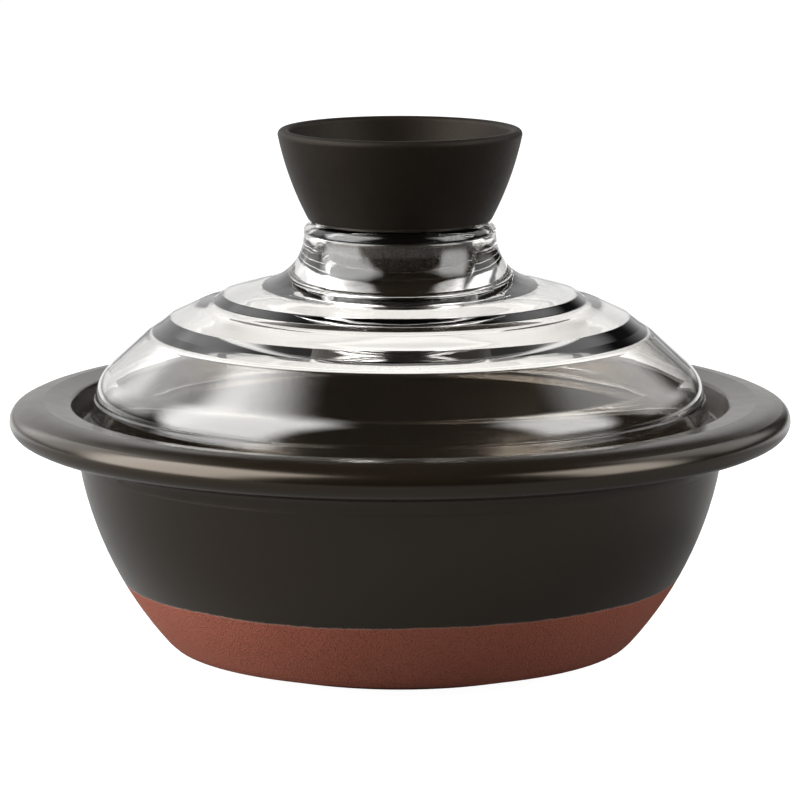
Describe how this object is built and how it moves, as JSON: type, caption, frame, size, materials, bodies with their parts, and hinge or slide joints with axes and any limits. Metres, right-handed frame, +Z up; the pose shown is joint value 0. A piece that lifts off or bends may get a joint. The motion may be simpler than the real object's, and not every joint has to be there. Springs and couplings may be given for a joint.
{
  "type": "donabe clay pot",
  "caption": "Round clay cooking pot with a wide flat rim, a stepped clear glass lid that lifts off, and a flared black cup-shaped knob screwed to the lid's neck.",
  "frame": {"origin": "middle of the foot, on the surface that the pot stands on", "axes": "+Z up along the axis of the pot, X and Y level"},
  "size_m": [0.299, 0.2988, 0.203],
  "materials": {
    "glazed_clay": "satin dark brown glaze, bare red-brown clay round the foot",
    "clear_glass": "clear polished heat-resistant glass",
    "knob_resin": "matte black with a fine grain",
    "silicone": "matte dark silicone",
    "nut_resin": "satin black"
  },
  "bodies": {
    "pot_body": {"pot": "glazed_clay"},
    "lid": {"lid_glass": "clear_glass", "knob_gasket": "silicone"},
    "knob": {"knob_cup": "knob_resin"},
    "nut": {"knob_nut": "nut_resin", "nut_packing": "silicone"}
  },
  "joints": [
    {"name": "lid_lift", "type": "slide", "parent": "pot_body", "child": "lid", "axis": [0, 0, 1], "range_m": [0, 0.15]},
    {"name": "knob_turn", "type": "hinge", "parent": "lid", "child": "knob", "pos_m": [0, 0, 0.1683], "axis": [0, 0, 1], "range_deg": [0, 720]},
    {"name": "nut_travel", "type": "slide", "parent": "lid", "child": "nut", "axis": [0, 0, -1], "range_m": [0, 0.006]}
  ],
  "couplings": [
    {"joint": "nut_travel", "follows": "knob_turn", "m_per_rad": 0.00047746}
  ]
}
